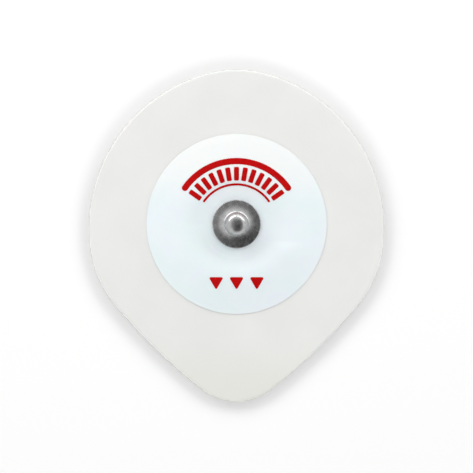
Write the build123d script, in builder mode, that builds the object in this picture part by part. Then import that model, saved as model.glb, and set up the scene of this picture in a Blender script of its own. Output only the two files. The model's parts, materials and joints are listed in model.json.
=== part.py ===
from build123d import *
from math import cos, radians, sin, sqrt, tan
import os

# A snap electrode for recording the heart's signal, in millimetres.
#
# A teardrop foam carrier holds a gel pad in a round well. A printed film label covers the well, and
# a drawn metal stud is pressed onto a sensor eyelet through the middle of the label. The lead of a
# recorder snaps over the stud's head, and the gel joins the eyelet to the skin.
#
# +Z points out of the stud, away from the skin, and -Y points to the lifting tab. The origin lies on
# the stud's axis, in the plane that rests on the skin.

# Foam carrier: a teardrop of tangent arcs, the same on both sides of the YZ plane
carrier_width = 48.0
round_end_reach = 25.1  # from the stud's axis to the round end
round_end_radius = 18.3
shoulder_offset = 2.1  # how far past the YZ plane the centre of the shoulder's arc lies
side_radius = 17.9
side_turn = 7.3  # degrees below the widest place, where the side takes over from the shoulder
flank_radius = 93.0  # the faint bow between the side and the tab
tab_reach = 28.9  # from the stud's axis to the tip of the lifting tab
tab_radius = 9.0
foam_thickness = 1.0
cut_edge_radius = 0.22  # where the cutting die draws the top edge down
well_diameter = 18.0

# The gel pad lifts the foam and the label round the well
swell_height = 0.46  # at the rim of the well
swell_width = 8.0  # from the rim of the well out to where the foam lies flat

# Film label
label_diameter = 29.2
film_thickness = 0.15
film_hole_gap = 0.05  # all round the rounded foot of the eyelet's post
seat_rise = 0.2  # of the clamped middle over the flat foam
seat_margin = 0.3  # of the clamped middle, all round the eyelet's flange

# Print on the label: a fan of bars above the stud and a row of pointers towards the tab
ink_thickness = 0.03
fan_margin = 3.9  # from the label's rim to the fan's wide band
fan_gap = 0.45  # between the band, the bars and the line
fan_span = 110.0  # degrees
fan_band_width = 1.0
fan_bar_length = 2.2
fan_bar_width = 0.8
fan_bar_count = 13
fan_line_width = 0.35
pointer_margin = 3.9  # from the label's rim to the pointers' tips
pointer_size = 2.4  # along each edge, before the corners are rounded
pointer_pitch = 3.3
pointer_count = 3
pointer_corner_radius = 0.2

# Snap stud: one drawn sheet of even thickness
stud_sheet = 0.22
tight_bend_radius = 0.08  # inside the hem's bend and the one under the head
flange_diameter = 7.9
hem_height = 0.05  # the upright part of the turned-down hem
flange_slope = 5.0  # degrees, up towards the neck
neck_blend_radius = 1.1  # from the flange up into the neck
neck_length = 0.05  # the upright part of the neck
undercut_depth = 0.29  # from the head in to the neck
undercut_angle = 45.0  # degrees, between the neck and the slope out to the head
undercut_radius = 0.15
head_diameter = 3.9
head_land = 0.3  # the upright part of the head
head_corner_radius = 1.0
crown_angle = 26.0  # degrees, half of the crown's arc

# Sensor eyelet
eyelet_diameter = 10.0
eyelet_thickness = 0.6  # of the boss in the middle of its flange
eyelet_rim_thickness = 0.32
eyelet_boss_diameter = 5.2
eyelet_edge_radius = 0.12
post_gap = 0.03  # all round, between its post and the stud

# Gel pad
gel_gap = 0.15  # all round, in the well
gel_edge_radius = 0.25

# Radii and levels that follow
well_radius = well_diameter / 2
swell_radius = well_radius + swell_width
label_radius = label_diameter / 2
eyelet_radius = eyelet_diameter / 2
seat_radius = eyelet_radius + seat_margin
flange_radius = flange_diameter / 2
head_radius = head_diameter / 2
neck_radius = head_radius - undercut_depth
seat_level = foam_thickness + seat_rise
crest_level = foam_thickness + swell_height
film_level = seat_level + film_thickness
above_label = crest_level + film_thickness + ink_thickness


def ogee(start, end):
    """Two arcs that leave the start level and reach the end level."""
    middle = ((start[0] + end[0]) / 2, (start[1] + end[1]) / 2)
    leaving = TangentArc(start, middle, tangent=(1, 0))
    TangentArc(middle, end, tangent=leaving % 1)


def seat_slope(lift):
    """The label's half section from its level middle up to the crest over the well's rim."""
    ogee((seat_radius, seat_level + lift), (well_radius, crest_level + lift))


def swell_slope(lift):
    """The half section from the crest over the well's rim down to the flat foam."""
    ogee((well_radius, crest_level + lift), (swell_radius, foam_thickness + lift))


def label_layer(bottom, top):
    """The half section of a layer on the foam and the seat, from one lift over them to another."""
    outer = carrier_width / 2
    for lift in (bottom, top):
        Line((0, seat_level + lift), (seat_radius, seat_level + lift))
        seat_slope(lift)
        swell_slope(lift)
        Line((swell_radius, foam_thickness + lift), (outer, foam_thickness + lift))
    Line((0, seat_level + bottom), (0, seat_level + top))
    Line((outer, foam_thickness + bottom), (outer, foam_thickness + top))


# Foam carrier: centres and meeting points of the teardrop's arcs on the +X side
round_end_centre = Vector(0, round_end_reach - round_end_radius)
shoulder_radius = carrier_width / 2 + shoulder_offset
shoulder_drop = sqrt((shoulder_radius - round_end_radius) ** 2 - shoulder_offset**2)
shoulder_centre = round_end_centre - Vector(shoulder_offset, shoulder_drop)
side_way = Vector(cos(radians(side_turn)), -sin(radians(side_turn)))
side_centre = shoulder_centre + side_way * (shoulder_radius - side_radius)
tab_centre = Vector(0, tab_radius - tab_reach)

# The flank bows round the side and the tab, so its centre is found from both
tab_way = (tab_centre - side_centre).normalized()
tab_distance = (tab_centre - side_centre).length
flank_from_side = flank_radius - side_radius
flank_from_tab = flank_radius - tab_radius
flank_along = (flank_from_side**2 - flank_from_tab**2 + tab_distance**2) / (2 * tab_distance)
flank_aside = sqrt(flank_from_side**2 - flank_along**2)
flank_centre = side_centre + tab_way * flank_along + Vector(tab_way.Y, -tab_way.X) * flank_aside

shoulder_start = shoulder_centre + (round_end_centre - shoulder_centre).normalized() * shoulder_radius
side_start = shoulder_centre + side_way * shoulder_radius
flank_start = flank_centre + (side_centre - flank_centre).normalized() * flank_radius
tab_start = flank_centre + (tab_centre - flank_centre).normalized() * flank_radius

with BuildPart() as foam_carrier:
    with BuildSketch():
        with BuildLine():
            round_end = TangentArc((0, round_end_reach), shoulder_start, tangent=(1, 0))
            shoulder = TangentArc(shoulder_start, side_start, tangent=round_end % 1)
            side = TangentArc(side_start, flank_start, tangent=shoulder % 1)
            flank = TangentArc(flank_start, tab_start, tangent=side % 1)
            TangentArc(tab_start, (0, -tab_reach), tangent=flank % 1)
            mirror(about=Plane.YZ)
        make_face()
    extrude(amount=foam_thickness)
    fillet(edges().group_by(Axis.Z)[-1], cut_edge_radius)
    Cylinder(swell_radius, foam_thickness, align=(Align.CENTER, Align.CENTER, Align.MIN), mode=Mode.SUBTRACT)
    with BuildSketch(Plane.XZ):
        with BuildLine():
            swell_slope(0)
            swell_slope(-foam_thickness)
            Line((well_radius, swell_height), (well_radius, crest_level))
            Line((swell_radius, 0), (swell_radius, foam_thickness))
        make_face()
    revolve(axis=Axis.Z)
foam_carrier.part.label = "foam_carrier"

# Film label: clamped between the stud's hem and the eyelet's flange
post_radius = neck_radius - stud_sheet - post_gap
film_hole_radius = post_radius + eyelet_edge_radius + film_hole_gap

with BuildPart() as film_label:
    with BuildSketch(Plane.XZ):
        with BuildLine():
            label_layer(0, film_thickness)
        make_face()
    revolve(axis=Axis.Z)
    Cylinder(label_radius, 2 * above_label, mode=Mode.INTERSECT)
    Cylinder(film_hole_radius, 2 * above_label, mode=Mode.SUBTRACT)
film_label.part.label = "film_label"

# Label print: a skin of ink on the film, cut to the fan and the pointers
fan_band_radius = label_radius - fan_margin - fan_band_width / 2
fan_bar_radius = fan_band_radius - fan_band_width / 2 - fan_gap - fan_bar_length / 2
fan_line_radius = fan_bar_radius - fan_bar_length / 2 - fan_gap - fan_line_width / 2
fan_start = 90 - fan_span / 2
pointer_radius = pointer_size / sqrt(3)  # of the circle through its corners

with BuildPart() as label_print:
    with BuildSketch(Plane.XZ):
        with BuildLine():
            label_layer(film_thickness, film_thickness + ink_thickness)
        make_face()
    revolve(axis=Axis.Z)
    with BuildSketch():
        for radius, width in ((fan_band_radius, fan_band_width), (fan_line_radius, fan_line_width)):
            SlotArc(CenterArc((0, 0), radius, fan_start, fan_span), width)
        with PolarLocations(fan_bar_radius, fan_bar_count, fan_start, fan_span, endpoint=True):
            RectangleRounded(fan_bar_length, fan_bar_width, fan_bar_width / 4)
        with Locations((0, pointer_radius + pointer_margin - label_radius)):
            with GridLocations(pointer_pitch, 0, pointer_count, 1):
                RegularPolygon(pointer_radius, 3, rotation=-90)
        fillet(vertices().filter_by(lambda corner: corner.Y < 0), pointer_corner_radius)
    extrude(amount=above_label, mode=Mode.INTERSECT)
label_print.part.label = "label_print"

# Snap stud: its half section goes from the hem's foot over the flange and the neck to the crown
bend_radius = tight_bend_radius + stud_sheet
flange_reach = tan(radians((90 - flange_slope) / 2))  # along the legs of a bend of radius 1
undercut_reach = tan(radians(undercut_angle / 2))  # the same at the undercut
hem_top = film_level + hem_height + bend_radius * flange_reach
neck_foot = hem_top + (flange_radius - neck_radius) * tan(radians(flange_slope))
waist_level = neck_foot + neck_blend_radius * flange_reach + neck_length / 2
neck_top = waist_level + neck_length / 2 + undercut_radius * undercut_reach
head_foot = neck_top + undercut_depth / tan(radians(undercut_angle))
land_top = head_foot + bend_radius * undercut_reach + head_land
crown_sine = sin(radians(crown_angle))
crown_cosine = cos(radians(crown_angle))
crown_radius = (head_radius - head_corner_radius * (1 - crown_sine)) / crown_sine
head_top = land_top + head_corner_radius * crown_cosine + crown_radius * (1 - crown_cosine)


def flange_line(inset):
    """The flange from the hem's foot to the waist, so far inside the stud's outer surface."""
    drop = inset * flange_reach
    FilletPolyline(
        (flange_radius - inset, film_level),
        (flange_radius - inset, hem_top - drop),
        (neck_radius - inset, neck_foot - drop),
        (neck_radius - inset, waist_level),
        radius=[bend_radius - inset, neck_blend_radius + inset],
    )


def head_line(inset):
    """The head from the waist to the axis, so far inside the stud's outer surface."""
    rise = inset * undercut_reach
    FilletPolyline(
        (neck_radius - inset, waist_level),
        (neck_radius - inset, neck_top + rise),
        (head_radius - inset, head_foot + rise),
        (head_radius - inset, land_top),
        radius=[undercut_radius + inset, bend_radius - inset],
    )
    corner = JernArc((head_radius - inset, land_top), (0, 1), head_corner_radius - inset, 90 - crown_angle)
    TangentArc(corner @ 1, (0, head_top - inset), tangent=corner % 1)


with BuildPart() as snap_stud:
    with BuildSketch(Plane.XZ):
        with BuildLine():
            for inset in (0, stud_sheet):
                flange_line(inset)
                head_line(inset)
            Line((flange_radius, film_level), (flange_radius - stud_sheet, film_level))
            Line((0, head_top), (0, head_top - stud_sheet))
        make_face()
    revolve(axis=Axis.Z)
snap_stud.part.label = "snap_stud"

# Sensor eyelet: a flange under the label and a post that fills the stud's neck and head
eyelet_foot = seat_level - eyelet_thickness
eyelet_rim = seat_level - eyelet_rim_thickness

with BuildPart() as sensor_eyelet:
    with BuildSketch(Plane.XZ):
        with BuildLine():
            head_line(stud_sheet + post_gap)
            FilletPolyline(
                (post_radius, waist_level),
                (post_radius, seat_level),
                (eyelet_radius, seat_level),
                (eyelet_radius, eyelet_rim),
                (eyelet_boss_diameter / 2, eyelet_foot),
                (0, eyelet_foot),
                radius=eyelet_edge_radius,
            )
            Line((0, eyelet_foot), (0, head_top - stud_sheet - post_gap))
        make_face()
    revolve(axis=Axis.Z)
sensor_eyelet.part.label = "sensor_eyelet"

# Gel pad: fills the well up to the label, round the eyelet's flange
with BuildPart() as gel_pad:
    with BuildSketch(Plane.XZ):
        with BuildLine():
            seat_slope(0)
            Line((well_radius, crest_level), (well_radius, 0))
            Line((well_radius, 0), (0, 0))
            Line((0, 0), (0, seat_level))
            Line((0, seat_level), (seat_radius, seat_level))
        make_face()
    revolve(axis=Axis.Z)
    Cylinder(well_radius - gel_gap, 2 * above_label, mode=Mode.INTERSECT)
    fillet(edges().group_by(Axis.Z)[0], gel_edge_radius)
    add(sensor_eyelet.part, mode=Mode.SUBTRACT)
gel_pad.part.label = "gel_pad"

os.makedirs("parts", exist_ok=True)
export_step(foam_carrier.part, "parts/foam_carrier.step")
export_step(film_label.part, "parts/film_label.step")
export_step(label_print.part, "parts/label_print.step")
export_step(snap_stud.part, "parts/snap_stud.step")
export_step(sensor_eyelet.part, "parts/sensor_eyelet.step")
export_step(gel_pad.part, "parts/gel_pad.step")
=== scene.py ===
import json
from math import cos, exp, hypot, pi, radians, sin, tan

import bpy
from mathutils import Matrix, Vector, noise

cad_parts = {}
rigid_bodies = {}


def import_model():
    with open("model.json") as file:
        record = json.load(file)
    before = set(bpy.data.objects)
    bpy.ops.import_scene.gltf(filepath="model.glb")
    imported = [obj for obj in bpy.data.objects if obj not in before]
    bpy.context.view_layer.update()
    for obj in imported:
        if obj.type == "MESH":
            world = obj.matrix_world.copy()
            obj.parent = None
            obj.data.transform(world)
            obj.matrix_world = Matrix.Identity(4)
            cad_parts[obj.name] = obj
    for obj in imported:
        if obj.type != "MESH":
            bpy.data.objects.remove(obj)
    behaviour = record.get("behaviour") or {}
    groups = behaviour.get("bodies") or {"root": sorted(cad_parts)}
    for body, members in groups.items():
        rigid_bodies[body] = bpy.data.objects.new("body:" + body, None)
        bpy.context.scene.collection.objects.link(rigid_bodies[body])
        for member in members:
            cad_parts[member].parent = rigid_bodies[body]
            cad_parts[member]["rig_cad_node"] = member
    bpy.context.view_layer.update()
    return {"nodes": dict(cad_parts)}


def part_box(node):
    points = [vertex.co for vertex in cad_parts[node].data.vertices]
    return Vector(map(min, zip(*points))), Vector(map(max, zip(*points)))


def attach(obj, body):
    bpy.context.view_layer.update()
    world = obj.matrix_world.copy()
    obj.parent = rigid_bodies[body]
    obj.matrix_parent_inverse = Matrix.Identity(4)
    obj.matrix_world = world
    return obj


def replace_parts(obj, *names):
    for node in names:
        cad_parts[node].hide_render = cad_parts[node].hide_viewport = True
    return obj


# A snap electrode for recording the heart's signal, seen straight from above, in metres.
#
# A white foam carrier with a lifting tab, a printed film label over its gel pad, and a
# nickel-plated stud pressed onto a sensor eyelet through the middle of the label.

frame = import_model()

MM = 0.001
SAME_POINT = 0.0005 * MM  # corners of a CAD node's triangles that lie nearer than this are joined
SOFTENING = 0.5  # how far a pass of smoothing takes a point towards its neighbours

# Camera: the photograph's frame is this wide at the label, and its middle lies below the stud
FRAME_WIDTH = 76.75 * MM
AIM_Y = -2.03 * MM
CAMERA_HEIGHT = 0.6
SENSOR_WIDTH = 36.0  # millimetres, as Blender's camera has it

# Stage
FLOOR_WIDTH = 12.0
FLOOR_DROP = 0.15 * MM  # the thin dark gap under foam that lies loosely
FLOOR_PAINT = 0.88
FLOOR_GLOW = 0.12  # added where the camera or a reflection sees the floor
ROOM_LIGHT = 0.22
BAND_LIGHT = 2.45  # of a bright band low round the room
BAND_START = (0.12, 0.25)  # the height of a direction where the band sets in and where it is full
BAND_END = (0.6, 0.4)  # where it has gone, and where it begins to fade
BAND_UNEVEN = -0.25  # the share it gains towards the picture's top; below 0, the foot gets more
LAMP_DISTANCE = 0.45
CARD_SIDES = 64

# Foam carrier
FOAM_GRAIN = 0.2 * MM  # of the mesh
FOAM_ROUNDING = 9  # passes that soften the rim
FOAM_TOP_WAVE = (0.04 * MM, 7 * MM)  # from crest to trough, and from crest to crest
FOAM_CUT_WAVE = (0.03 * MM, 0.9 * MM)
FOAM_CUT_TILT = 0.5  # a face whose normal rises less than this is the die's cut
FOAM_UNDER_TILT = -0.7  # and one that falls more than this lies on the skin
FOAM_FOOT = 0.1 * MM  # kept straight, so that the foam lies flat

# Film label
FILM_SPOKES = 256
FILM_RINGS = 80
FILM_ROUNDING = 6  # passes that take the CAD face's flat steps away
FILM_THICKNESS = 0.1 * MM
FILM_EDGE = 0.045 * MM  # rounded off its two rims
FILM_SHARP = radians(50.0)  # an edge that turns further than this is shown sharp
FILM_HOLE = 1.7 * MM
FILM_INSIDE = 0.04 * MM  # this far in is inside all the straight steps of the CAD label's rim
FILM_HELD = 3.6 * MM  # flat this far out under the stud, and free so much further out
FILM_FREED = 2 * MM
RIM_PRESS = 0.065 * MM  # how far the die pressed the rim into the foam
RIM_WIDTH = 1.2 * MM
PRINT_SHARP = radians(30.0)

# The film's unevenness: waves, a swell over the gel, highest below the stud, and a crease beside it
BROAD_WAVE = (0.035 * MM, 6 * MM)  # height and breadth
FINE_WAVE = (0.008 * MM, 2.2 * MM)
FINE_WAVE_LEVEL = 9 * MM  # read at another level, so that it isn't like the broad one
SWELL_CREST = 8.2 * MM
SWELL_INSIDE = 2.7 * MM
SWELL_OUTSIDE = 3.4 * MM
SWELL_ALL_ROUND = 0.15 * MM
SWELL_BELOW = 0.55 * MM
CREASE_FOOT = (8.2 * MM, -2.9 * MM)
CREASE_REACH = 2.6 * MM
CREASE_RISE = 0.22 * MM
CREASE_NEAR_SIDE = 1.5 * MM
CREASE_FAR_SIDE = 2.2 * MM

# Snap stud: the sizes of its half section
STUD_SPOKES = 192
STUD_SHEET = 0.19 * MM  # thinner than the solid's, to clear the eyelet's post under a rounder head
STUD_SHARP = radians(40.0)
HEM_CORNER = 0.305 * MM  # from the hem's foot to where the flange's top would meet its side
HEM_BEND = 0.14 * MM
FLANGE_SLOPE = radians(7.0)
FLANGE_STEPS = 8
FLARE_BEND = 4.0 * MM
FLARE_SLOPE = radians(22.0)
NECK_BLEND = 0.7 * MM
NECK_DEPTH = 0.29 * MM
UNDERCUT_ANGLE = radians(45.0)
UNDERCUT_BEND = 0.15 * MM
HEAD_RADIUS = 1.95 * MM
HEAD_FOOT_BEND = 0.3 * MM
HEAD_LAND = 0.07 * MM
HEAD_CORNER = 1.35 * MM
CROWN_ANGLE = radians(12.0)

# Gel pad
GEL_GRAIN = 0.12 * MM
GEL_ROUNDING = 4

# Places from the frame
film_low, film_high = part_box("film_label")
stud_low, stud_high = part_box("snap_stud")
film_radius = film_high.x
flange_radius = stud_high.x


def join(owner, outlet, inlet):
    """A wire from one node of a material or of the world to another."""
    owner.node_tree.links.new(outlet, inlet)


def add_node(owner, kind, **settings):
    """A shader node with its settings."""
    made = owner.node_tree.nodes.new("ShaderNode" + kind)
    for name, value in settings.items():
        setattr(made, name, value)
    return made


def new_material(name, roughness, metallic=0.0):
    """A material with one Principled shader."""
    material = bpy.data.materials.new(name)
    material.use_nodes = True
    shader = material.node_tree.nodes["Principled BSDF"]
    shader.inputs["Roughness"].default_value = roughness
    shader.inputs["Metallic"].default_value = metallic
    return material, shader


def on_piece(material, stretch=(1, 1, 1), turn=0.0):
    """Object coordinates, stretched and turned about the stud's axis."""
    mapping = add_node(material, "Mapping")
    mapping.inputs["Scale"].default_value = stretch
    mapping.inputs["Rotation"].default_value = (0, 0, turn)
    join(material, add_node(material, "TexCoord").outputs["Object"], mapping.inputs["Vector"])
    return mapping.outputs["Vector"]


def blotches(material, size, detail=2.0, stretch=(1, 1, 1), turn=0.0):
    """Soft noise from 0 to 1, its blotches so large."""
    made = add_node(material, "TexNoise")
    made.inputs["Scale"].default_value = 1 / size
    made.inputs["Detail"].default_value = detail
    join(material, on_piece(material, stretch, turn), made.inputs["Vector"])
    return made.outputs["Fac"]


def cells(material, size):
    """The distance from the middle of each closed cell, in cell sizes."""
    made = add_node(material, "TexVoronoi")
    made.inputs["Scale"].default_value = 1 / size
    join(material, on_piece(material), made.inputs["Vector"])
    return made.outputs["Distance"]


def ramp(owner, factor, start, end, low=0.0, high=1.0):
    """A factor mapped softly from one range to another and held there."""
    made = add_node(owner, "MapRange", interpolation_type="SMOOTHSTEP")
    for name, value in (("From Min", start), ("From Max", end), ("To Min", low), ("To Max", high)):
        made.inputs[name].default_value = value
    join(owner, factor, made.inputs["Value"])
    return made.outputs["Result"]


def combine(owner, operation, first, second):
    """Two values added, multiplied or compared, the second a plain number or from a node."""
    made = add_node(owner, "Math", operation=operation)
    join(owner, first, made.inputs[0])
    if isinstance(second, float):
        made.inputs[1].default_value = second
    else:
        join(owner, second, made.inputs[1])
    return made.outputs[0]


def mix_shaders(owner, factor, first, second):
    """One shader where the factor is 0 and the other where it is 1."""
    made = add_node(owner, "MixShader")
    join(owner, factor, made.inputs["Fac"])
    join(owner, first.outputs[0], made.inputs[1])
    join(owner, second.outputs[0], made.inputs[2])
    return made.outputs[0]


def blend_colours(material, factor, first, second):
    """One colour where the factor is 0 and the other where it is 1."""
    made = add_node(material, "Mix", data_type="RGBA")
    join(material, factor, made.inputs["Factor"])
    for inlet, colour in ((made.inputs["A"], first), (made.inputs["B"], second)):
        if isinstance(colour, tuple):
            inlet.default_value = (*colour, 1)
        else:
            join(material, colour, inlet)
    return made.outputs["Result"]


def relief(material, height, depth, below=None):
    """A fine relief of so many metres, over the one below it."""
    made = add_node(material, "Bump")
    made.inputs["Distance"].default_value = depth
    join(material, height, made.inputs["Height"])
    if below:
        join(material, below, made.inputs["Normal"])
    return made.outputs["Normal"]


def way_along(material, axis):
    """How far along an axis a place on the piece lies, in metres."""
    apart = add_node(material, "SeparateXYZ")
    join(material, on_piece(material), apart.inputs["Vector"])
    return apart.outputs[axis]


def foam_skin():
    """White closed-cell polyethylene foam, darker and warmer towards the tab."""
    material, shader = new_material("white_foam_skin", 0.62)
    patchy = ramp(material, blotches(material, 9 * MM), 0.3, 0.7)
    white = blend_colours(material, patchy, (0.805, 0.81, 0.79), (0.83, 0.832, 0.815))
    # darker and warmer towards the tab
    tab = ramp(material, way_along(material, "Y"), -18 * MM, -28 * MM)
    colour = blend_colours(material, tab, white, (0.785, 0.79, 0.74))
    join(material, colour, shader.inputs["Base Color"])
    shader.inputs["Subsurface Weight"].default_value = 0.15
    shader.inputs["Subsurface Scale"].default_value = 0.8 * MM
    shader.inputs["Subsurface Radius"].default_value = (1, 1, 0.9)
    pebbles = relief(material, cells(material, 0.32 * MM), 0.006 * MM)
    swells = relief(material, blotches(material, 1.6 * MM, 3), 0.012 * MM, pebbles)
    join(material, swells, shader.inputs["Normal"])
    return material


def foam_cut():
    """The die-cut wall of the foam, with its cells cut open; its grey is partly the open cells and
    partly painted shade, darkest in each cell's hollow.
    """
    material, shader = new_material("cut_foam_cells_painted_shade", 0.75)
    open_cells = cells(material, 0.26 * MM)
    # painted shade: the wall is greyer than the foam, darkest in the middle of each open cell, so
    # it also throws less light on the floor beside it
    depth = ramp(material, open_cells, 0.1, 0.7)
    colour = blend_colours(material, depth, (0.41, 0.41, 0.40), (0.56, 0.56, 0.545))
    join(material, colour, shader.inputs["Base Color"])
    join(material, relief(material, open_cells, 0.05 * MM), shader.inputs["Normal"])
    return material


def skin_adhesive():
    """The tacky coat under the foam."""
    material, shader = new_material("tacky_adhesive", 0.3)
    patchy = blotches(material, 3 * MM, 4)
    colour = blend_colours(material, patchy, (0.78, 0.775, 0.73), (0.84, 0.838, 0.80))
    join(material, colour, shader.inputs["Base Color"])
    shader.inputs["Coat Weight"].default_value = 0.8
    shader.inputs["Coat Roughness"].default_value = 0.12
    uneven = relief(material, blotches(material, 0.7 * MM, 3), 0.012 * MM)
    join(material, uneven, shader.inputs["Normal"])
    return material


def label_film():
    """White film with a satin gloss and a cool tint, and painted light that whitens it towards the
    picture's top.
    """
    material, shader = new_material("satin_white_film", 0.34)
    patchy = ramp(material, blotches(material, 5 * MM), 0.35, 0.65)
    cool = blend_colours(material, patchy, (0.845, 0.92, 0.935), (0.875, 0.92, 0.96))
    # painted light: the film turns whiter towards the picture's top, the side that the soft boxes
    # light
    painted_top_light = ramp(material, way_along(material, "Y"), 2 * MM, 11 * MM)
    colour = blend_colours(material, painted_top_light, cool, (0.945, 0.945, 0.94))
    join(material, colour, shader.inputs["Base Color"])
    shader.inputs["Subsurface Weight"].default_value = 0.1
    shader.inputs["Subsurface Scale"].default_value = 0.4 * MM
    satin = relief(material, blotches(material, 0.22 * MM, 2), 0.0012 * MM)
    join(material, satin, shader.inputs["Normal"])
    return material


def printing_ink():
    """Deep red ink, laid a little unevenly."""
    material, shader = new_material("deep_red_ink", 0.3)
    laid = ramp(material, blotches(material, 0.5 * MM, 3), 0.3, 0.7)
    colour = blend_colours(material, laid, (0.47, 0.001, 0.002), (0.55, 0.002, 0.003))
    join(material, colour, shader.inputs["Base Color"])
    shader.inputs["Specular IOR Level"].default_value = 0.2
    grain = relief(material, blotches(material, 0.12 * MM, 2), 0.001 * MM)
    join(material, grain, shader.inputs["Normal"])
    return material


def tumbled_nickel():
    """Nickel plate on brass, dulled and finely scratched by tumbling."""
    material, shader = new_material("tumbled_nickel", 0.24, metallic=1.0)
    worn = ramp(material, blotches(material, 0.9 * MM, 4), 0.35, 0.65)
    colour = blend_colours(material, worn, (0.39, 0.39, 0.395), (0.47, 0.47, 0.47))
    join(material, colour, shader.inputs["Base Color"])
    dullness = ramp(material, blotches(material, 0.5 * MM, 3), 0.3, 0.7, 0.2, 0.29)
    join(material, dullness, shader.inputs["Roughness"])
    normal = relief(material, blotches(material, 0.35 * MM, 2), 0.0016 * MM)
    for turn in (0.3, 1.2, 2.1, 2.8):
        scratches = ramp(material, blotches(material, 0.4 * MM, 2, (1, 14, 1), turn), 0.55, 0.75)
        normal = relief(material, scratches, 0.0005 * MM, normal)
    join(material, normal, shader.inputs["Normal"])
    return material


def sensor_coat():
    """Silver and silver chloride on moulded plastic: dull, grey and faintly speckled."""
    material, shader = new_material("silver_chloride_coat", 0.48, metallic=0.25)
    speckles = ramp(material, blotches(material, 0.15 * MM, 3), 0.35, 0.7)
    colour = blend_colours(material, speckles, (0.30, 0.285, 0.26), (0.44, 0.42, 0.39))
    join(material, colour, shader.inputs["Base Color"])
    grain = relief(material, blotches(material, 0.2 * MM, 3), 0.004 * MM)
    join(material, grain, shader.inputs["Normal"])
    return material


def wet_gel():
    """Clear, faintly blue hydrogel with a soft net in it."""
    material, shader = new_material("wet_hydrogel", 0.06)
    net = ramp(material, cells(material, 0.9 * MM), 0.35, 0.6)
    colour = blend_colours(material, net, (0.80, 0.92, 0.95), (0.92, 0.97, 0.98))
    join(material, colour, shader.inputs["Base Color"])
    shader.inputs["Transmission Weight"].default_value = 0.75
    shader.inputs["IOR"].default_value = 1.36
    shader.inputs["Subsurface Weight"].default_value = 0.2
    shader.inputs["Subsurface Scale"].default_value = 1 * MM
    soft = relief(material, blotches(material, 1.2 * MM, 2), 0.02 * MM)
    join(material, soft, shader.inputs["Normal"])
    return material


def edit(piece):
    """Edit mode on one piece, with nothing of it selected."""
    bpy.ops.object.select_all(action="DESELECT")
    bpy.context.view_layer.objects.active = piece
    piece.select_set(True)
    bpy.ops.object.mode_set(mode="EDIT")
    bpy.ops.mesh.select_all(action="DESELECT")


def finish_edit():
    """Back to object mode."""
    bpy.ops.object.mode_set(mode="OBJECT")


def apply(piece, kind, **settings):
    """Adds a modifier with its settings and applies it."""
    bpy.ops.object.select_all(action="DESELECT")
    bpy.context.view_layer.objects.active = piece
    piece.select_set(True)
    modifier = piece.modifiers.new(kind.lower(), kind)
    for name, value in settings.items():
        setattr(modifier, name, value)
    bpy.ops.object.modifier_apply(modifier=modifier.name)


def copy_of(node, name):
    """A new piece with a CAD node's shape, its loose triangles joined."""
    piece = bpy.data.objects.new(name, frame["nodes"][node].data.copy())
    bpy.context.scene.collection.objects.link(piece)
    piece.data.materials.clear()
    edit(piece)
    bpy.ops.mesh.select_all(action="SELECT")
    bpy.ops.mesh.remove_doubles(threshold=SAME_POINT)
    finish_edit()
    return piece


def turned(name, profile, spokes):
    """A round piece, drawn ring by ring from radii and levels. A radius of 0 closes it."""
    radius, level = profile[0]
    bpy.ops.mesh.primitive_circle_add(vertices=spokes, radius=radius, location=(0, 0, level))
    piece = bpy.context.object
    piece.name = piece.data.name = name
    bpy.ops.object.transform_apply()
    edit(piece)
    bpy.ops.mesh.select_all(action="SELECT")
    for next_radius, next_level in profile[1:]:
        bpy.ops.mesh.extrude_edges_move()
        if next_radius > 0:
            share = next_radius / radius
            bpy.ops.transform.resize(value=(share, share, 1), center_override=(0, 0, 0))
        bpy.ops.transform.translate(value=(0, 0, next_level - level))
        if next_radius == 0:
            bpy.ops.mesh.merge(type="CENTER")
        radius, level = next_radius, next_level
    bpy.ops.mesh.select_all(action="SELECT")
    bpy.ops.mesh.normals_make_consistent(inside=False)
    finish_edit()
    return piece


def arc(centre, radius, start, end, steps):
    """Points on an arc after its start, by angles from the outward direction."""
    angles = [start + (end - start) * step / steps for step in range(1, steps + 1)]
    return [(centre[0] + radius * cos(angle), centre[1] + radius * sin(angle)) for angle in angles]


def dress(piece, material, body="root"):
    """The piece's finish and the body that it rides on."""
    piece.data.materials.clear()
    piece.data.materials.append(material)
    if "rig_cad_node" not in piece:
        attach(piece, body)


def crease_lift(x, y):
    """The crease beside the stud: a sharp foot on the stud's side, and a rounded crest below it."""
    from_foot = CREASE_FOOT[1] - y
    if from_foot < 0:
        return 0.0
    if from_foot < CREASE_NEAR_SIDE:
        share = sin(pi / 2 * from_foot / CREASE_NEAR_SIDE)
    else:
        share = exp(-(((from_foot - CREASE_NEAR_SIDE) / CREASE_FAR_SIDE) ** 2))
    return CREASE_RISE * share * exp(-(((x - CREASE_FOOT[0]) / CREASE_REACH) ** 2))


def film_lift(x, y):
    """How far the film lies off its level: it was laid by a machine, so not quite smooth."""
    broad = BROAD_WAVE[0] * noise.noise(Vector((x, y, 0)) / BROAD_WAVE[1])
    fine = FINE_WAVE[0] * noise.noise(Vector((x, y, FINE_WAVE_LEVEL)) / FINE_WAVE[1])
    from_stud = hypot(x, y)
    below_stud = max(0.0, -y / max(from_stud, MM))
    from_crest = from_stud - SWELL_CREST
    side = SWELL_INSIDE if from_crest < 0 else SWELL_OUTSIDE
    swell = (SWELL_ALL_ROUND + SWELL_BELOW * below_stud) * exp(-((from_crest / side) ** 2))
    free = min(1.0, max(0.0, (from_stud - FILM_HELD) / FILM_FREED))
    return free * (broad + fine + swell + crease_lift(x, y))


def rim_press(x, y):
    """How far the film's rim is pressed down, deepest at its very edge."""
    share = min(1.0, max(0.0, 1 - (film_radius - hypot(x, y)) / RIM_WIDTH))
    return RIM_PRESS * share * share * (3 - 2 * share)


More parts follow.
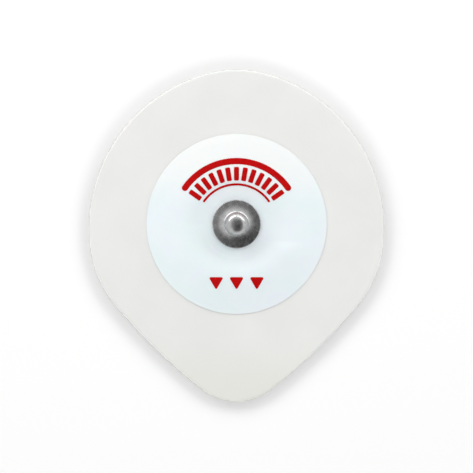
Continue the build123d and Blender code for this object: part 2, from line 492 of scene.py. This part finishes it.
def make_foam():
    """The carrier: a slightly uneven sheet with a die-cut wall and an adhesive underside."""
    foam = copy_of("foam_carrier", "foam_sheet")
    solid = frame["nodes"]["foam_carrier"]
    apply(foam, "REMESH", mode="VOXEL", voxel_size=FOAM_GRAIN, use_smooth_shade=True)
    apply(foam, "SHRINKWRAP", target=solid, wrap_method="NEAREST_SURFACEPOINT")
    apply(foam, "SMOOTH", factor=SOFTENING, iterations=FOAM_ROUNDING)
    top = foam.vertex_groups.new(name="top")
    wall = foam.vertex_groups.new(name="wall")
    for vertex in foam.data.vertices:
        if vertex.normal.z > FOAM_CUT_TILT:
            top.add([vertex.index], 1.0, "REPLACE")
        elif vertex.normal.z > -FOAM_CUT_TILT and vertex.co.z > FOAM_FOOT:
            wall.add([vertex.index], 1.0, "REPLACE")
    waves = (("top", "Z", FOAM_TOP_WAVE), ("wall", "NORMAL", FOAM_CUT_WAVE))
    for name, direction, (height, breadth) in waves:
        wave = bpy.data.textures.new(name + "_wave", "CLOUDS")
        wave.noise_scale = breadth
        apply(
            foam, "DISPLACE", texture=wave, texture_coords="LOCAL", direction=direction,
            strength=height, mid_level=0.5, vertex_group=name,
        )
    dress(foam, foam_skin())
    foam.data.materials.append(foam_cut())
    foam.data.materials.append(skin_adhesive())
    cut, under = 1, 2  # their places among the foam's finishes
    for face in foam.data.polygons:
        if face.normal.z < FOAM_UNDER_TILT:
            face.material_index = under
        elif face.normal.z < FOAM_CUT_TILT:
            face.material_index = cut
    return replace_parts(foam, "foam_carrier")


def make_film():
    """The label: drawn flat, laid on the CAD label, then given its waves and its thickness."""
    outer = film_radius - FILM_INSIDE
    above = 2 * film_high.z
    rings = [FILM_HOLE + (outer - FILM_HOLE) * ring / FILM_RINGS for ring in range(FILM_RINGS + 1)]
    film = turned("label_film", [(radius, above) for radius in rings], FILM_SPOKES)
    apply(
        film, "SHRINKWRAP", target=frame["nodes"]["film_label"], wrap_method="PROJECT",
        use_project_z=True, use_negative_direction=True, use_positive_direction=True,
    )
    apply(film, "SMOOTH", factor=SOFTENING, iterations=FILM_ROUNDING, use_x=False, use_y=False)
    for vertex in film.data.vertices:
        vertex.co.x *= film_radius / outer
        vertex.co.y *= film_radius / outer
        vertex.co.z += film_lift(vertex.co.x, vertex.co.y) - rim_press(vertex.co.x, vertex.co.y)
    apply(film, "SOLIDIFY", thickness=FILM_THICKNESS, offset=-1)
    apply(film, "BEVEL", width=FILM_EDGE, segments=2, limit_method="ANGLE")
    bpy.ops.object.shade_smooth_by_angle(angle=FILM_SHARP)
    dress(film, label_film())
    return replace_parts(film, "film_label")


def make_print():
    """The print, on the same waves as the film."""
    skin = copy_of("label_print", "label_ink")
    for vertex in skin.data.vertices:
        vertex.co.z += film_lift(vertex.co.x, vertex.co.y)
    bpy.ops.object.shade_smooth_by_angle(angle=PRINT_SHARP)
    dress(skin, printing_ink())
    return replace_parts(skin, "label_print")


def stud_profile():
    """The stud's outer line from the hem's foot to the middle of the crown."""
    neck_radius = HEAD_RADIUS - NECK_DEPTH
    crown_radius = (HEAD_RADIUS - HEAD_CORNER * (1 - sin(CROWN_ANGLE))) / sin(CROWN_ANGLE)
    crown_level = stud_high.z - crown_radius
    land_top = crown_level + (crown_radius - HEAD_CORNER) * cos(CROWN_ANGLE)
    land_foot = land_top - HEAD_LAND
    undercut_reach = tan(UNDERCUT_ANGLE / 2)
    neck_top = land_foot - HEAD_FOOT_BEND * undercut_reach - NECK_DEPTH / tan(UNDERCUT_ANGLE)
    neck_straight = neck_top - UNDERCUT_BEND * undercut_reach

    # The flange rises to the neck in a wide bend and a tight one
    flare = Vector((sin(FLARE_SLOPE), cos(FLARE_SLOPE)))
    flange = Vector((sin(FLANGE_SLOPE), cos(FLANGE_SLOPE)))
    tight_start = neck_radius + NECK_BLEND * (1 - flare.x)
    wide_start = tight_start + FLARE_BEND * (flare.x - flange.x)
    hem_corner = stud_low.z + HEM_CORNER
    rise = (flange_radius - wide_start) * tan(FLANGE_SLOPE)
    wide_foot = Vector((wide_start, hem_corner + rise))
    wide_centre = wide_foot + FLARE_BEND * flange
    tight_centre = wide_centre + (NECK_BLEND - FLARE_BEND) * flare

    hem_top = hem_corner - HEM_BEND * tan((pi / 2 - FLANGE_SLOPE) / 2)
    line = [(flange_radius, stud_low.z), (flange_radius, hem_top)]
    line += arc((flange_radius - HEM_BEND, hem_top), HEM_BEND, 0, pi / 2 - FLANGE_SLOPE, steps=8)
    hem_point = Vector(line[-1])
    for step in range(1, FLANGE_STEPS + 1):
        line.append(tuple(hem_point.lerp(wide_foot, step / FLANGE_STEPS)))
    down = 3 * pi / 2
    line += arc(wide_centre, FLARE_BEND, down - FLANGE_SLOPE, down - FLARE_SLOPE, steps=10)
    line += arc(tight_centre, NECK_BLEND, down - FLARE_SLOPE, pi, steps=18)

    undercut_centre = (neck_radius + UNDERCUT_BEND, neck_straight)
    line += arc(undercut_centre, UNDERCUT_BEND, pi, pi - UNDERCUT_ANGLE, steps=5)
    foot_centre = (HEAD_RADIUS - HEAD_FOOT_BEND, land_foot)
    line += arc(foot_centre, HEAD_FOOT_BEND, -UNDERCUT_ANGLE, 0, steps=5)
    corner_centre = (HEAD_RADIUS - HEAD_CORNER, land_top)
    line += arc(corner_centre, HEAD_CORNER, 0, pi / 2 - CROWN_ANGLE, steps=16)
    crown = arc((0, crown_level), crown_radius, pi / 2 - CROWN_ANGLE, pi / 2, steps=14)
    return line + crown[:-1] + [(0, stud_high.z)]


def make_stud():
    """The stud: one drawn sheet, so its wall is given after its outer face."""
    stud = turned("nickel_stud", stud_profile(), STUD_SPOKES)
    apply(stud, "SOLIDIFY", thickness=STUD_SHEET, offset=-1, use_even_offset=True)
    bpy.ops.object.shade_smooth_by_angle(angle=STUD_SHARP)
    dress(stud, tumbled_nickel())
    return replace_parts(stud, "snap_stud")


def make_gel():
    """The gel pad: it fills the well up to the label, round the eyelet, and its edges are soft."""
    gel = copy_of("gel_pad", "hydrogel_pad")
    apply(gel, "REMESH", mode="VOXEL", voxel_size=GEL_GRAIN, use_smooth_shade=True)
    apply(gel, "SMOOTH", factor=SOFTENING, iterations=GEL_ROUNDING)
    dress(gel, wet_gel())
    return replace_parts(gel, "gel_pad")


def make_camera():
    """Straight above, level with the frame's middle."""
    data = bpy.data.cameras.new("camera")
    data.sensor_width = SENSOR_WIDTH
    data.lens = SENSOR_WIDTH * (CAMERA_HEIGHT - film_low.z) / FRAME_WIDTH
    camera = bpy.data.objects.new("camera", data)
    camera.location = (0, AIM_Y, CAMERA_HEIGHT)
    bpy.context.scene.collection.objects.link(camera)
    bpy.context.scene.camera = camera


def seen_directly(owner):
    """1 for rays from the camera, gloss and clear gel, and 0 for the light that falls on things."""
    path = add_node(owner, "LightPath")
    seen = path.outputs["Is Camera Ray"]
    for name in ("Is Glossy Ray", "Is Transmission Ray"):
        seen = combine(owner, "MAXIMUM", seen, path.outputs[name])
    return seen


def stage_material(name):
    """A material with no nodes yet, for the floor or a card."""
    material = bpy.data.materials.new(name)
    material.use_nodes = True
    material.node_tree.nodes.clear()
    return material


def make_floor():
    """A pale floor that keeps the shadow and shows white round it."""
    bpy.ops.mesh.primitive_plane_add(size=FLOOR_WIDTH, location=(0, 0, -FLOOR_DROP))
    floor = bpy.context.object
    floor.name = "floor"
    material = stage_material("pale_floor")
    paint = add_node(material, "BsdfDiffuse")
    paint.inputs["Color"].default_value = (FLOOR_PAINT, FLOOR_PAINT, FLOOR_PAINT, 1)
    glow = add_node(material, "Emission")
    strength = combine(material, "MULTIPLY", seen_directly(material), FLOOR_GLOW)
    join(material, strength, glow.inputs["Strength"])
    both = add_node(material, "AddShader")
    join(material, paint.outputs[0], both.inputs[0])
    join(material, glow.outputs[0], both.inputs[1])
    join(material, both.outputs[0], add_node(material, "OutputMaterial").inputs["Surface"])
    floor.data.materials.append(material)


def make_room():
    """A white room with a bright band low down, for a soft shadow all round a thin sheet."""
    world = bpy.data.worlds.new("white_room")
    bpy.context.scene.world = world
    world.use_nodes = True
    world.node_tree.nodes.clear()
    way = add_node(world, "SeparateXYZ")
    join(world, add_node(world, "TexCoord").outputs["Generated"], way.inputs[0])
    sets_in = ramp(world, way.outputs["Z"], *BAND_START)
    fades = ramp(world, way.outputs["Z"], *BAND_END)
    band = combine(world, "MULTIPLY", sets_in, fades)
    uneven = combine(world, "MULTIPLY", way.outputs["Y"], BAND_UNEVEN)
    band = combine(world, "MULTIPLY", band, combine(world, "ADD", uneven, 1.0))
    band = combine(world, "MULTIPLY", band, BAND_LIGHT)
    lighting = add_node(world, "Background")
    join(world, combine(world, "ADD", band, ROOM_LIGHT), lighting.inputs["Strength"])
    white = add_node(world, "Background")
    white.inputs["Strength"].default_value = 1
    for background in (lighting, white):
        background.inputs["Color"].default_value = (1, 1, 1, 1)
    either = mix_shaders(world, seen_directly(world), lighting, white)
    join(world, either, add_node(world, "OutputWorld").inputs["Surface"])


def place_facing(piece, azimuth, elevation, distance):
    """Puts a lamp or a card at an angle from +X and an elevation, facing the stud."""
    level = cos(elevation)
    place = Vector((cos(azimuth) * level, sin(azimuth) * level, sin(elevation))) * distance
    piece.location = place
    piece.rotation_mode = "QUATERNION"
    piece.rotation_quaternion = place.to_track_quat("Z", "Y")


def make_lamp(name, azimuth, elevation, width, height, power):
    """A soft box."""
    data = bpy.data.lights.new(name, "AREA")
    data.shape = "RECTANGLE"
    data.size = width
    data.size_y = height
    data.energy = power
    lamp = bpy.data.objects.new(name, data)
    place_facing(lamp, azimuth, elevation, LAMP_DISTANCE)
    bpy.context.scene.collection.objects.link(lamp)


def make_dark_card(name, azimuth, elevation, distance, radius, core, shade):
    """A dark card that only metal and gloss see, full in its middle and clear at its rim."""
    bpy.ops.mesh.primitive_circle_add(vertices=CARD_SIDES, radius=radius, fill_type="NGON")
    card = bpy.context.object
    card.name = name
    place_facing(card, azimuth, elevation, distance)
    card.visible_camera = False
    card.visible_diffuse = False
    card.visible_transmission = False
    card.visible_shadow = False
    material = stage_material(name)
    from_middle = add_node(material, "VectorMath", operation="LENGTH")
    join(material, add_node(material, "TexCoord").outputs["Object"], from_middle.inputs[0])
    rim = ramp(material, from_middle.outputs["Value"], radius * core, radius)
    dark = add_node(material, "Emission")
    dark.inputs["Color"].default_value = (shade, shade, shade, 1)
    either = mix_shaders(material, rim, dark, add_node(material, "BsdfTransparent"))
    join(material, either, add_node(material, "OutputMaterial").inputs["Surface"])
    card.data.materials.append(material)


make_camera()
make_foam()
make_film()
make_print()
make_stud()
make_gel()
dress(frame["nodes"]["sensor_eyelet"], sensor_coat())

make_floor()
make_room()
make_lamp(
    "soft_box_left", azimuth=radians(126), elevation=radians(28),
    width=0.48, height=0.15, power=0.76,
)
make_lamp(
    "soft_box_right", azimuth=radians(53), elevation=radians(28),
    width=0.46, height=0.15, power=0.57,
)
make_dark_card(
    "dark_card_overhead", azimuth=radians(-2), elevation=radians(85), distance=0.42,
    radius=0.34, core=0.19, shade=0.17,
)
make_dark_card(
    "dark_card_below", azimuth=radians(-72), elevation=radians(58), distance=0.38,
    radius=0.40, core=0.08, shade=0.06,
)

bpy.context.scene.view_settings.view_transform = "Standard"
